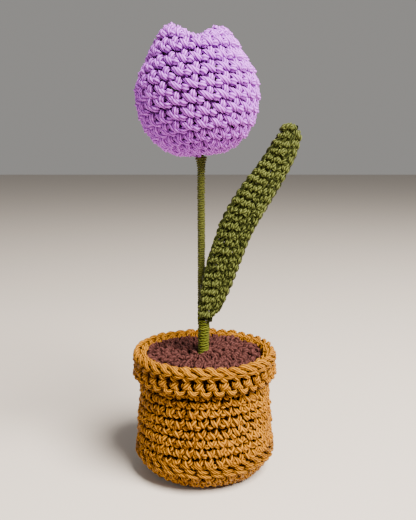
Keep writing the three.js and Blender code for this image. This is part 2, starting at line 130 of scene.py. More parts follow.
def spin_yarn(name, points, thickness, radius, plies, lay=14.0, lie=None):
    """One closed strand of plied yarn. Its plies turn once in lay radii of length. What lies sunk in
    the cloth is marked for painted shade, because little light gets down between the fibres there: lie holds
    the cloth's outward direction and the radii out at each point."""
    scene = bpy.context.scene

    # the section: a crest for each ply and a groove between each pair
    groove = 0.22
    section = bpy.data.curves.new(name + "_section", "CURVE")
    section.dimensions = "2D"
    outline = section.splines.new("POLY")
    outline.points.add(2 * plies - 1)
    outline.use_cyclic_u = True
    for k in range(2 * plies):
        reach = radius * (1 if k % 2 == 0 else 1 - groove)
        turn = -math.pi * k / plies
        outline.points[k].co = (reach * math.cos(turn), reach * math.sin(turn), 0, 1)
    section_object = bpy.data.objects.new(section.name, section)
    scene.collection.objects.link(section_object)

    # the run: the section follows it and turns as it goes, which twists the plies
    curve = bpy.data.curves.new(name + "_run", "CURVE")
    curve.dimensions = "3D"
    curve.bevel_mode = "OBJECT"
    curve.bevel_object = section_object
    curve.use_fill_caps = True
    strand = curve.splines.new("POLY")
    strand.points.add(len(points) - 1)
    strand.points.foreach_set("co", np.c_[points, np.ones(len(points))].ravel())
    strand.points.foreach_set("radius", thickness)
    lengths = np.linalg.norm(np.diff(points, axis=0), axis=1)
    strand.points.foreach_set("tilt", np.r_[0, np.cumsum(lengths)] * (2 * math.pi / (lay * radius)))
    run_object = bpy.data.objects.new(curve.name, curve)
    scene.collection.objects.link(run_object)
    graph = bpy.context.evaluated_depsgraph_get()
    mesh = bpy.data.meshes.new_from_object(run_object.evaluated_get(graph))
    for spare in (run_object, section_object):
        bpy.data.objects.remove(spare)
    for spare in (curve, section):
        bpy.data.curves.remove(spare)

    # how far in the shade of the cloth each point of the strand's skin lies, as its share of painted shade
    crest_light = 1.9
    light_fade = 2.6
    painted_shade_share = np.zeros(len(mesh.vertices))
    if lie is not None:
        rings = 2 * plies * len(points)
        corners = np.empty(3 * len(mesh.vertices))
        mesh.vertices.foreach_get("co", corners)
        from_middle = corners.reshape(-1, 3)[:rings] - np.repeat(points, 2 * plies, axis=0)
        upright = np.repeat(lie, 2 * plies, axis=0)
        crest = np.sum(from_middle * upright[:, :3], axis=1) / radius + upright[:, 3]
        painted_shade_share[:rings] = np.clip((crest_light - crest) / light_fade, 0, 1)
    mesh.attributes.new("painted_cloth_shade", "FLOAT", "POINT").data.foreach_set("value", painted_shade_share)

    # the caps are joined to the strand, so it is closed
    form = bmesh.new()
    form.from_mesh(mesh)
    bmesh.ops.remove_doubles(form, verts=form.verts, dist=0.001 * radius)
    for face in form.faces:
        face.smooth = True
    form.to_mesh(mesh)
    form.free()
    mesh.name = name
    piece = bpy.data.objects.new(name, mesh)
    scene.collection.objects.link(piece)
    piece["points"] = len(points)
    return piece


def crochet(name, surface, run, radius, sink, detail, plies, lay=14.0):
    """Lays a run of stitches on a surface that is read by turn and round, with the cloth's middle sunk
    below its crest, and spins the yarn. Detail is how many steps lead from each point to the next."""
    step = 0.003
    turns, rounds = run[:, 0], run[:, 1]
    along = surface(turns + step, rounds) - surface(turns - step, rounds)
    up = surface(turns, rounds + 5 * step) - surface(turns, rounds - 5 * step)
    normals = np.cross(along, up)
    normals /= np.maximum(np.linalg.norm(normals, axis=1, keepdims=True), 1e-15)
    places = surface(turns, rounds) + normals * (run[:, 2:3] * radius - sink)
    detail = np.resize(detail, len(run) - 1)
    where = np.concatenate([k + np.arange(n) / n for k, n in enumerate(detail)] + [[len(run) - 1]])
    points = smooth_run(np.c_[places, run[:, 3], normals, run[:, 2]], where)
    return spin_yarn(name, points[:, :3], points[:, 3], radius, plies, lay, points[:, 4:])


class Shade:
    """A value or a colour in a material's node tree. Values can be written in sums."""

    def __init__(self, tree, socket=None):
        self.tree = tree
        self.socket = socket

    def node(self, kind, settings, inputs, output=0):
        """Adds a node, sets it up, gives its sockets values or links, and wraps one of its outputs."""
        made = self.tree.nodes.new(kind)
        for name, value in settings.items():
            setattr(made, name, value)
        for name, value in inputs.items():
            if isinstance(value, Shade):
                self.tree.links.new(value.socket, made.inputs[name])
            else:
                made.inputs[name].default_value = value
        return Shade(self.tree, made.outputs[output])

    def maths(self, operation, *values):
        """Adds a Math node on links or numbers."""
        return self.node("ShaderNodeMath", {"operation": operation}, dict(enumerate(values)))

    def fraction(self):
        """What is left over whole turns."""
        return self.maths("FRACT", self)

    def __abs__(self):
        return self.maths("ABSOLUTE", self)

    def __add__(self, other):
        return self.maths("ADD", self, other)

    def __sub__(self, other):
        return self.maths("SUBTRACT", self, other)

    def __rsub__(self, other):
        return self.maths("SUBTRACT", other, self)

    def __mul__(self, other):
        return self.maths("MULTIPLY", self, other)

    def __pow__(self, other):
        return self.maths("POWER", self, other)

    def __rpow__(self, other):
        return self.maths("POWER", other, self)

    __radd__ = __add__
    __rmul__ = __mul__


def mix_colours(share, low, high):
    """The low colour where share is 0, the high one where it is 1."""
    return share.node("ShaderNodeMix", {"data_type": "RGBA"}, {0: share, 6: low, 7: high}, 2)


def yarn_material(name, piece, painted_shade_tone, middle, light, plies, gloss=0.35):
    """Plied yarn: a painted highlight along each ply's crest, painted shade in its grooves and where it lies
    sunk in the cloth, and streaks of its fibres that are partly painted glints. The UV map of a strand runs
    along it and round it."""
    made = bpy.data.materials.new(name)
    made.use_nodes = True
    tree = made.node_tree
    shader = tree.nodes["Principled BSDF"]
    start = Shade(tree)
    strand = start.node("ShaderNodeUVMap", {"uv_map": "UVMap"}, {})
    along = strand.node("ShaderNodeSeparateXYZ", {}, {0: strand}, "X") * float(piece["points"])
    around = strand.node("ShaderNodeSeparateXYZ", {}, {0: strand}, "Y")

    def grooves(count):
        """0 on each of count crests round the strand, 1 in the grooves between them."""
        return 1.0 - abs((around * float(count)).fraction() - 0.5) * 2.0

    slope = grooves(plies)
    groove = slope ** 1.6
    thread = grooves(3 * plies)

    # fibre streaks are long along the strand and fine round it, and their pale lines are partly painted
    # glints;
    # larger patches vary the dye
    place = along.node("ShaderNodeCombineXYZ", {}, {0: along * 0.22, 1: around * 18.0, 2: 0.0})
    fibre_streaks_and_glints = place.node("ShaderNodeTexNoise", {}, {"Vector": place, "Scale": 2.2, "Detail": 4.0})
    here = start.node("ShaderNodeTexCoord", {}, {}, "Object")
    patches = here.node("ShaderNodeTexNoise", {}, {"Vector": here, "Scale": 90.0, "Detail": 2.0})

    # from middle to light by fibre streak and dye patch, with a painted highlight on each crest, then
    # towards the painted shade tone in the grooves and down in the cloth
    painted_cloth_shade = start.node("ShaderNodeAttribute", {"attribute_name": "painted_cloth_shade"}, {}, "Fac")
    tone = mix_colours(fibre_streaks_and_glints * 1.7 + patches * 0.6 - slope * 0.6 - 0.35, middle, light)
    tone = mix_colours(groove * 0.85 + thread * 0.15 + painted_cloth_shade * 0.85, tone, painted_shade_tone)
    tree.links.new(tone.socket, shader.inputs["Base Color"])
    shader.inputs["Roughness"].default_value = 0.5
    shader.inputs["Specular IOR Level"].default_value = gloss
    shader.inputs["Specular Tint"].default_value = light
    height = fibre_streaks_and_glints - groove * 0.8
    rise = height.node("ShaderNodeBump", {}, {"Strength": 0.7, "Distance": 0.0003, "Height": height})
    tree.links.new(rise.socket, shader.inputs["Normal"])
    piece.data.materials.append(made)


def flower_surface(turns, rounds):
    """The flower's crest, in metres, upright on its own foot."""
    angle = 2 * math.pi * turns + math.pi / 2

    # the rows rise to the right, less and less towards the top
    rounds = rounds + FLOWER_ROW_TILT * np.cos(angle) * np.clip((12 - rounds) / 4, 0, 1)
    share = np.zeros_like(angle)
    for azimuth, reach in LOBES:
        apart = angle - (azimuth - math.pi / 2)
        apart = np.abs(np.arctan2(np.sin(apart), np.cos(apart)))
        fade = np.minimum(apart * LOBE_NARROW / math.pi, 1)
        share = np.maximum(share, reach * np.cos(fade * math.pi / 2) ** 1.5)
    hollow = smooth_run(FLOWER_HOLLOW, rounds)
    lobe = smooth_run(FLOWER_LOBE, rounds)
    radius, height = (hollow + (lobe - hollow) * share[:, None]).T * MM

    # each row stands out a little
    radius = radius + FLOWER_SWELL * np.cos(2 * math.pi * (rounds - 0.55)) * np.clip(rounds - 1, 0, 1)
    return np.stack([radius * np.cos(angle), radius * np.sin(angle), height], 1)


flower_tilt = Vector((0, 0, 1)).rotation_difference(FLOWER_AXIS)
flower_place = Matrix.Translation(FLOWER_FOOT) @ flower_tilt.to_matrix().to_4x4()
flower_run = work_rounds(SINGLE_CROCHET, FLOWER_STITCHES, FLOWER_SLIP, uneven=0.7, seed=11,
                         climb=FLOWER_CLIMB)
flower_run[:, 1] = np.minimum(flower_run[:, 1], FLOWER_LAST_ROUND)

# the lowest rounds have narrow stitches, worked so tight that the yarn is drawn thinner
flower_run[:, 3] *= np.interp(flower_run[:, 1], (0.0, 5.0), (0.74, 1.0))
flower = crochet("flower_cover", flower_surface, flower_run, FLOWER_YARN, FLOWER_SINK, CROCHET_DETAIL,
                 FLOWER_PLIES, lay=12.0)
flower.data.transform(flower_place)
yarn_material("lilac_cotton", flower, *LILAC, plies=FLOWER_PLIES, gloss=0.25)
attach(flower, "root")
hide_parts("flower")


# The flower's stuffing: loose grey-green wool pushed in by hand, which fills the ball and shows as
# dark specks where the stitches leave a gap. It is a body turned inside the cover, with lumps.

STUFFING_INSET = 3.1
STUFFING_FOOT = 3.4
STUFFING_SQUEEZE = 0.88
LUMPS_A_METRE = 400
GREY_GREEN = [(0.06, 0.05, 0.05, 1), (0.20, 0.19, 0.15, 1)]


def stuff(name, outline, steps, lumps, seed):
    """A lumpy body of wool turned from an outline that starts and ends on its axis."""
    form = bmesh.new()
    start = [form.verts.new((radius * MM, 0, height * MM)) for radius, height in outline]
    edges = [form.edges.new(pair) for pair in zip(start, start[1:])]
    bmesh.ops.spin(form, geom=start + edges, cent=(0, 0, 0), axis=(0, 0, 1), angle=2 * math.pi,
                   steps=steps, use_merge=True)
    bmesh.ops.remove_doubles(form, verts=form.verts, dist=0.01 * MM)
    bmesh.ops.recalc_face_normals(form, faces=form.faces)
    form.normal_update()
    for vert in form.verts:
        dent = 0.5 + 0.5 * noise.noise(vert.co * LUMPS_A_METRE + Vector((seed, 0, 0)))
        vert.co -= vert.normal * lumps * MM * dent
    for face in form.faces:
        face.smooth = True
    mesh = bpy.data.meshes.new(name)
    form.to_mesh(mesh)
    form.free()
    piece = bpy.data.objects.new(name, mesh)
    bpy.context.scene.collection.objects.link(piece)
    return piece


def wool_material(name, piece, dark, light):
    """Matt wool with small tufts."""
    made = bpy.data.materials.new(name)
    made.use_nodes = True
    tree = made.node_tree
    shader = tree.nodes["Principled BSDF"]
    here = Shade(tree).node("ShaderNodeTexCoord", {}, {}, "Object")
    tufts = here.node("ShaderNodeTexNoise", {}, {"Vector": here, "Scale": 900.0, "Detail": 4.0})
    tone = mix_colours(tufts, dark, light)
    tree.links.new(tone.socket, shader.inputs["Base Color"])
    shader.inputs["Roughness"].default_value = 1.0
    rise = tufts.node("ShaderNodeBump", {}, {"Strength": 0.8, "Distance": 0.0006, "Height": tufts})
    tree.links.new(rise.socket, shader.inputs["Normal"])
    piece.data.materials.append(made)


stuffing_outline = [(0.0, 4.0)]
for radius, height in smooth_run(FLOWER_HOLLOW, np.linspace(0.4, 11.6, 34)):
    stuffing_outline.append((max(radius - STUFFING_INSET, 0.5), height * STUFFING_SQUEEZE + STUFFING_FOOT))
stuffing_outline.append((0.0, 43.0))
stuffing = stuff("flower_wool", stuffing_outline, steps=60, lumps=1.2, seed=3)
stuffing.data.transform(flower_place)
wool_material("grey_green_wool", stuffing, *GREY_GREEN)
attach(stuffing, "root")
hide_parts("flower_stuffing")


# The two wires: plain steel, one up the stem from the pot's filling into the flower, the other beside
# it and out along the leaf. They are hidden in the yarn, so the CAD's own solids serve as they are.

steel = bpy.data.materials.new("steel_wire")
steel.use_nodes = True
steel_shader = steel.node_tree.nodes["Principled BSDF"]
steel_shader.inputs["Base Color"].default_value = (0.45, 0.46, 0.48, 1)
steel_shader.inputs["Metallic"].default_value = 1.0
steel_shader.inputs["Roughness"].default_value = 0.4
for name in ("stem_wire", "leaf_wire"):
    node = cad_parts[name]
    node.data.materials.clear()
    node.data.materials.append(steel)


# The stem's wrap: one strand of dark olive yarn wound in close turns over the steel wire from the
# binding up to the flower, and built up into a small collar under it.

WRAP_YARN = 0.5 * MM
WRAP_PLIES = 4
WRAP_PITCH = 0.93
WRAP_FROM = 62.0
WRAP_TO = 131.6
WRAP_RADIUS = 1.72
WRAP_CENTRE = (-1.35, 0.0)
COLLAR_FROM = 127.0
COLLAR_TALL = 3.2
COLLAR_OUT = 0.68
# its tones: painted shade, its own, and a paler one for its fibres and dye and for the painted highlight
# along the crests
DARK_OLIVE = [(0.010, 0.012, 0.002, 1), (0.044, 0.048, 0.008, 1), (0.115, 0.12, 0.024, 1)]

# how far the turns stray by hand: up and down, in and out, and in thickness
TURN_STRAYS = (0.04, 0.05, 0.04)


def wind(centre_line, crest, low, high, pitch, radius, seed, points_a_turn=12):
    """A strand wound round a line, with turns that lie a little unevenly: its points and thickness."""
    stray_up, stray_out, stray_thick = TURN_STRAYS
    turns = (high - low) / pitch
    part = np.linspace(0, 1, int(turns * points_a_turn))
    sway = np.random.default_rng(seed).normal(0, 1, int(turns * 3) + 2)
    uneven = np.interp(part * turns * 3, np.arange(len(sway)), sway)
    angle = 2 * math.pi * turns * part
    height = low + (high - low) * part + stray_up * uneven
    reach = (crest(height) + stray_out * uneven) * MM - radius
    centre = centre_line(height) * MM
    points = np.stack([centre[:, 0] + reach * np.cos(angle), centre[:, 1] + reach * np.sin(angle),
                       height * MM], 1)
    return points, 1 + stray_thick * uneven


def wrap_centre(height):
    """The stem stands upright."""
    return np.tile(WRAP_CENTRE, (len(height), 1))


def wrap_crest(height):
    """The wrap's outer radius, which grows into the collar."""
    return WRAP_RADIUS + COLLAR_OUT * np.clip((height - COLLAR_FROM) / COLLAR_TALL, 0, 1) ** 1.5


wrap_points, wrap_thickness = wind(wrap_centre, wrap_crest, WRAP_FROM, WRAP_TO, WRAP_PITCH, WRAP_YARN,
                                   seed=5)
wrap = spin_yarn("stem_winding", wrap_points, wrap_thickness, WRAP_YARN, WRAP_PLIES, lay=12.0)
yarn_material("dark_olive_yarn", wrap, *DARK_OLIVE, plies=WRAP_PLIES)
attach(wrap, "root")
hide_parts("stem_wrap")


# The leaf: one narrow blade crocheted in thin olive yarn round a wire. Its stitches stand in short rows
# across it, which meet in a furrow along the vein. It is worked here as a flat sleeve, narrow at the
# foot and closed at the tip.

LEAF_YARN = 0.67 * MM
LEAF_PLIES = 4
LEAF_SINK = 2.0 * LEAF_YARN
LEAF_ROWS = 25
LEAF_ACROSS = 9
LEAF_STITCHES = (LEAF_ROWS - 2) * [LEAF_ACROSS] + [8, 5]
LEAF_LAST_ROW = LEAF_ROWS - 0.1
LEAF_HALF_THICKNESS = 1.7
LEAF_VEIN = -0.3
LEAF_SLANT_LEFT = 0.25
LEAF_SLANT_RIGHT = 1.0
LEAF_FURROW = 0.25
LEAF_FURROW_WIDTH = 0.16
LEAF_ROW_RISE = 0.12
LEAF_ROW_WAVE = 0.08
LEAF_TIP = 0.95
LEAF_TIP_LEAST = 0.22
# its tones: painted shade, its own, and a paler one for its fibres and dye and for the painted highlight
# along the crests
OLIVE = [(0.008, 0.010, 0.002, 1), (0.038, 0.047, 0.009, 1), (0.135, 0.15, 0.038, 1)]

# the middle line from the binding to the tip, and half the width at even steps along it
LEAF_LINE = [(0.0, -3.3, 65.2), (2.9, -4.2, 74.0), (6.2, -4.8, 85.0), (9.5, -5.2, 94.8), (13.7, -5.4, 105.4),
             (20.0, -5.0, 116.3), (27.0, -3.8, 126.6), (32.2, -2.4, 136.0), (34.4, -1.4, 144.0)]
LEAF_HALVES = [(3.9,), (6.1,), (6.7,), (6.9,), (5.9,), (4.8,)]
leaf_many = smooth_run(LEAF_LINE, np.linspace(0, len(LEAF_LINE) - 1, 400))
leaf_lengths = np.r_[0, np.cumsum(np.linalg.norm(np.diff(leaf_many, axis=0), axis=1))]
leaf_lengths /= leaf_lengths[-1]

# a close small stitch: two short legs and a bump low between them, with thick yarn behind
LEAF_STITCH = [
    (0.38, 0.10, -0.8, 0.55), (0.36, 0.20, 0.40, 0.98), (0.28, 0.36, 1.05, 1.28), (0.18, 0.56, 1.00, 1.24),
    (0.10, 0.72, 0.35, 0.95), (0.08, 0.82, -0.7, 0.55), (0.40, 0.90, -1.0, 1.50), (0.66, 0.88, -0.7, 0.55),
    (0.68, 0.80, 0.40, 0.98), (0.67, 0.64, 1.00, 1.28), (0.62, 0.48, 0.95, 1.26), (0.59, 0.36, 0.30, 0.95),
    (0.62, 0.24, -0.7, 0.60), (0.80, 0.40, -1.0, 1.50), (0.86, 0.17, -0.6, 0.60), (0.92, 0.16, 0.40, 1.10),
    (1.00, 0.14, 0.85, 1.36), (1.08, 0.12, 0.40, 1.10), (1.13, 0.10, -0.6, 0.60), (1.20, 0.50, -1.0, 1.50),
]
LEAF_DETAIL = [1, 1, 2] + 6 * [1] + [2] + 10 * [1]


def leaf_point(part):
    """Points on the leaf's middle line, by their part of its length."""
    return np.stack([np.interp(part, leaf_lengths, leaf_many[:, k]) for k in range(3)], 1)


def leaf_surface(turns, rows):
    """The leaf as a flat sleeve, read from its right edge round the back, and from its foot up. Across is
    -1 at the right edge and 1 at the left, and rise is -1 at the back and 1 in front."""
    turns = (turns + 0.25) % 1
    across = 1 - 4 * np.abs(turns - 0.75)
    across = np.where(turns < 0.25, -1 + 4 * (0.25 - turns), across)
    rise = np.where((turns > 0.25) & (turns < 0.75), -1, 1) * np.sqrt(np.clip(1 - across ** 4, 0, 1))

    # the rows fall a little from the vein to the left and rise to the right, but lie level at both ends
    from_vein = across - LEAF_VEIN
    slant = -np.where(from_vein > 0, LEAF_SLANT_LEFT, LEAF_SLANT_RIGHT) * from_vein
    slant *= np.clip(rows / 2, 0, 1) * np.clip((LEAF_ROWS - rows) / 4, 0, 1)
    part = np.clip((rows + slant) / LEAF_ROWS, 0, 1)

    # the directions up the blade, out of its front, and across it to the left
    tangent = leaf_point(np.minimum(part + 0.02, 1)) - leaf_point(np.maximum(part - 0.02, 0))
    tangent /= np.linalg.norm(tangent, axis=1, keepdims=True)
    front = np.array((0, -1, 0)) + tangent * tangent[:, 1:2]
    front /= np.linalg.norm(front, axis=1, keepdims=True)
    side = np.cross(front, tangent)

    # the tip is rounded off, the foot is narrower, each row stands out, and the vein is a furrow
    swell = np.cos(2 * math.pi * (rows - 0.45))
    end = np.sqrt(np.clip(1 - np.clip((part - LEAF_TIP) / (1 - LEAF_TIP), 0, 1) ** 2, LEAF_TIP_LEAST, 1))
    foot = np.minimum(1, 0.8 + part * 4)
    half = (smooth_run(LEAF_HALVES, part * 5)[:, 0] + LEAF_ROW_WAVE * swell) * end * foot
    rise *= 1 + LEAF_ROW_RISE * swell - LEAF_FURROW * np.exp(-(from_vein / LEAF_FURROW_WIDTH) ** 2)
    return (leaf_point(part) + side * (half * across)[:, None]
            + front * (LEAF_HALF_THICKNESS * rise * (0.55 + 0.45 * end))[:, None]) * MM


leaf_run = work_rounds(LEAF_STITCH, LEAF_STITCHES, slip=0.0, uneven=2.2, seed=21)
leaf_run[:, 1] = np.clip(leaf_run[:, 1], 0, LEAF_LAST_ROW)
leaf = crochet("leaf_blade", leaf_surface, leaf_run, LEAF_YARN, LEAF_SINK, LEAF_DETAIL, LEAF_PLIES)
yarn_material("olive_yarn", leaf, *OLIVE, plies=LEAF_PLIES)
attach(leaf, "root")
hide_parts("leaf")


# The leaf's right edge: a chain of slip stitches in the same olive yarn, worked up the blade's side to
# close it. Each link lies over the turn of the cloth, one to a row.

EDGE_SINK = 1.2 * LEAF_YARN
EDGE_LINK = [(0.010, -0.04, -0.6, 0.60), (-0.010, 0.12, 0.50, 1.05), (-0.025, 0.40, 0.95, 1.35),
             (-0.035, 0.72, 0.85, 1.30), (-0.030, 0.98, 0.20, 0.90), (-0.010, 1.04, -0.8, 0.60)]
edge_run = np.concatenate([np.array(EDGE_LINK) + (0, row, 0, 0) for row in range(2, LEAF_ROWS - 1)])
edge = crochet("leaf_edge", leaf_surface, edge_run, LEAF_YARN, EDGE_SINK, [2], LEAF_PLIES)
yarn_material("olive_yarn_edge", edge, *OLIVE, plies=LEAF_PLIES)
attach(edge, "root")
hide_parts("leaf")


# The yarn inside the leaf: the chain that the blade is worked on, thick olive yarn that goes to and fro
# between the two faces beside the wire. It closes the gaps between the stitches against the light.

INSIDE_YARN = 1.7 * LEAF_YARN
INSIDE_PASS = np.linspace(0.06, 0.96, 120)
INSIDE_ACROSS = [-0.78, -0.48, -0.16, 0.16, 0.48, 0.80]
INSIDE_SWAY = 0.04
INSIDE_SWAYS = 160
INSIDE_DROP = 0.4

# the passes sway a little and draw together at the tip, and run lower on the right, as the blade leans
inside_part = np.concatenate(3 * [INSIDE_PASS, INSIDE_PASS[::-1]])
inside_side = np.repeat(INSIDE_ACROSS, len(INSIDE_PASS)) + INSIDE_SWAY * np.sin(inside_part * INSIDE_SWAYS)
inside_half = smooth_run(LEAF_HALVES, inside_part * 5)[:, 0]
inside_across = inside_side * inside_half * np.clip((1.0 - inside_part) * 9, 0.2, 1)
inside_sideways = np.stack([inside_across, 0 * inside_across, -INSIDE_DROP * inside_across], 1)
inside_points = (leaf_point(inside_part) + inside_sideways) * MM
# the chain counts as lying down in the cloth all along, so it is darkened all over with painted shade
inside_lie = np.zeros((len(inside_part), 4))
inside = spin_yarn("leaf_chain", inside_points, np.ones(len(inside_part)), INSIDE_YARN, LEAF_PLIES,
                   lie=inside_lie)
yarn_material("olive_yarn_inside", inside, *OLIVE, plies=LEAF_PLIES)
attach(inside, "root")
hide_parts("leaf")


# The binding: a brighter olive yarn wound in thick turns round both wires where the leaf joins the
# stem, down into the soil. It widens a little towards the leaf and leans over to it.

BINDING_YARN = 0.6 * MM
BINDING_PLIES = 4
BINDING_PITCH = 1.17
BINDING_FROM = 46.8
BINDING_TO = 65.0
BINDING_RADIUS = 2.4
BINDING_SPREAD = 0.3
BINDING_SPREAD_FROM = 52.0
BINDING_SPREAD_TALL = 11.0
BINDING_LEAN = (0.15, -0.65)
BINDING_LEAN_FROM = 54.0
BINDING_LEAN_TALL = 9.6
STEM_FOOT = (-0.5, -0.35)
# its tones: painted shade, its own, and a paler one for its fibres and dye and for the painted highlight
# along the crests
LIME_OLIVE = [(0.012, 0.016, 0.002, 1), (0.055, 0.062, 0.006, 1), (0.15, 0.16, 0.020, 1)]


def binding_centre(height):
    """It leans over from the stem's foot towards the leaf's, and starts and ends softly."""
    share = np.clip((height - BINDING_LEAN_FROM) / BINDING_LEAN_TALL, 0, 1)
    share = share * share * (3 - 2 * share)
    return np.stack([STEM_FOOT[0] + BINDING_LEAN[0] * share, STEM_FOOT[1] + BINDING_LEAN[1] * share], 1)


def binding_crest(height):
    """The binding's outer radius."""
    share = np.clip((height - BINDING_SPREAD_FROM) / BINDING_SPREAD_TALL, 0, 1)
    return BINDING_RADIUS + BINDING_SPREAD * share


binding_points, binding_thickness = wind(binding_centre, binding_crest, BINDING_FROM, BINDING_TO,
                                         BINDING_PITCH, BINDING_YARN, seed=8, points_a_turn=18)
binding = spin_yarn("binding_winding", binding_points, binding_thickness, BINDING_YARN, BINDING_PLIES,
                    lay=10.0)
yarn_material("lime_olive_yarn", binding, *LIME_OLIVE, plies=BINDING_PLIES)
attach(binding, "root")
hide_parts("binding")


# The pot's base and wall: golden cotton cord in single crochet. A flat round makes the base and turns
# up at its edge, and eight rounds stand on it as the wall, the lower three with more stitches, so the
# pot narrows upwards.

POT_YARN = 0.82 * MM
POT_PLIES = 4
POT_SINK = 2.15 * POT_YARN
POT_STITCHES = 36
BASE_STITCHES = [6, 12, 18, 24, 30, 36, 36]
BASE_SLIP = 0.16 / POT_STITCHES
BASE_LINE = [(0.6, 0.0), (4.6, 0.0), (9.2, 0.0), (13.8, 0.0), (18.4, 0.0), (22.9, 1.2), (26.3, 3.9),
             (28.5, 7.6)]
POT_GLOSS = 0.25
WALL_STITCHES = 3 * [POT_STITCHES + 6] + 5 * [POT_STITCHES]
WALL_SLIP = 0.12 / POT_STITCHES
WALL_ROUNDS = len(WALL_STITCHES)
WALL_FOOT_RADIUS = 28.9
WALL_TAPER = 2.1
WALL_FOOT = BASE_LINE[-1][1]
WALL_TALL = 31.3
WALL_SWELL = 0.2
WALL_WAVE = 0.35
# its tones: painted shade, its own, and a paler one for its fibres and dye and for the painted highlight
# along the crests
GOLD = [(0.038, 0.010, 0.0005, 1), (0.19, 0.057, 0.002, 1), (0.52, 0.225, 0.013, 1)]

# a tighter stitch than the flower's: short steep legs that make a V, and a bump low between two of them
POT_CROCHET = [
    (0.54, 0.01, -0.8, 0.55), (0.53, 0.10, 0.30, 0.95), (0.45, 0.22, 1.00, 1.22), (0.32, 0.41, 1.30, 1.32),
    (0.18, 0.62, 1.10, 1.20), (0.06, 0.80, 0.50, 0.94), (-0.01, 0.92, -0.7, 0.55), (0.22, 0.80, -1.4, 1.20),
    (0.44, 0.90, -1.4, 1.25), (0.66, 1.03, -0.7, 0.55), (0.68, 0.94, 0.35, 0.94), (0.67, 0.79, 0.98, 1.20),
    (0.62, 0.60, 1.12, 1.24), (0.57, 0.44, 0.55, 0.98), (0.60, 0.30, -0.7, 0.60), (0.82, 0.22, -0.7, 0.60),
    (0.86, 0.21, 0.40, 1.02), (0.92, 0.19, 1.00, 1.32), (0.98, 0.17, 1.14, 1.38), (1.04, 0.15, 0.85, 1.28),
    (1.09, 0.14, 0.20, 0.95), (1.13, 0.13, -0.8, 0.60), (0.98, 0.64, -1.4, 1.30), (1.26, 0.50, -1.4, 1.25),
]
POT_DETAIL = [1, 1, 2, 2, 2] + 6 * [1] + [2, 2] + 4 * [1] + [2, 2] + 5 * [1]


def base_surface(turns, rounds):
    """The base's outer face, in metres."""
    angle = 2 * math.pi * turns + math.pi / 2
    radius, height = smooth_run(BASE_LINE, rounds).T * MM
    return np.stack([radius * np.cos(angle), radius * np.sin(angle), height], 1)


def wall_surface(turns, rounds):
    """The wall's outer face, in metres, with rows that wave a little."""
    angle = 2 * math.pi * turns + math.pi / 2
    part = rounds / WALL_ROUNDS
    swell = WALL_SWELL * np.cos(2 * math.pi * (rounds - 0.5))
    radius = (WALL_FOOT_RADIUS - WALL_TAPER * np.clip(part, 0, 2) ** 1.5 + swell) * MM
    height = (WALL_FOOT + WALL_TALL * part + WALL_WAVE * np.sin(angle * 2 + rounds * 1.7)) * MM
    return np.stack([radius * np.cos(angle), radius * np.sin(angle), height], 1)


def finish_golden(piece, plies):
    """Gives a part of the pot the look of its cord, hangs it under the root and hides the CAD pot."""
    yarn_material("gold_cord_" + piece.name, piece, *GOLD, plies=plies, gloss=POT_GLOSS)
    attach(piece, "root")
    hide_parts("pot")


base_run = work_rounds(POT_CROCHET, BASE_STITCHES, BASE_SLIP, uneven=1.0, seed=41, climb=0.0)
base = crochet("pot_base", base_surface, base_run, POT_YARN, POT_SINK, POT_DETAIL, POT_PLIES)
finish_golden(base, POT_PLIES)

# the ridge takes up the first round above the base, so the wall starts one round up
wall_run = work_rounds(POT_CROCHET, WALL_STITCHES, WALL_SLIP, uneven=1.8, seed=42)
wall_run[:, 1] += 1
wall = crochet("pot_wall", wall_surface, wall_run, POT_YARN, POT_SINK, POT_DETAIL, POT_PLIES)
finish_golden(wall, POT_PLIES)


# The pot's ridge: free loops of the same golden cord, left standing where the base turns up into the
# wall. They make a braid, with long slanting loops above it and holes between them.

CORD_PLIES = 5
CORD_POINT_STRAYS = (0.014, 0.06, 0.06, 0.03)
CORD_STITCH_STRAYS = (0.025, 0.10, 0.12, 0.04)
# the cord counts as lying this many yarn radii deeper in the cloth, which adds painted shade
CORD_SINK = 1.1

# stitches along, radius, height and thickness, as the cord runs
RIDGE_BRAID = [
    (0.40, 27.9, 9.6, 0.50), (0.52, 28.6, 9.4, 0.74), (0.84, 29.0, 9.0, 0.86), (1.18, 29.1, 8.7, 0.84),
    (1.46, 28.9, 8.4, 0.66), (1.58, 28.2, 8.2, 0.50), (1.46, 27.5, 8.8, 1.00), (1.20, 27.3, 9.4, 1.00),
]
RIDGE_LOOPS = [
    (0.00, 27.8, 12.6, 0.50), (0.08, 28.4, 12.4, 0.74), (0.35, 28.7, 12.0, 0.86), (0.66, 28.7, 11.6, 0.80),
    (0.84, 28.3, 11.3, 0.55), (0.84, 27.4, 11.2, 1.00), (0.50, 27.2, 10.9, 1.00), (0.44, 27.9, 10.9, 0.60),
    (0.55, 28.6, 10.7, 0.90), (0.84, 28.9, 10.3, 1.02), (1.10, 28.8, 10.1, 0.92), (1.26, 28.4, 10.1, 0.60),
    (1.32, 27.4, 10.4, 0.90), (1.10, 27.2, 11.8, 1.00),
]


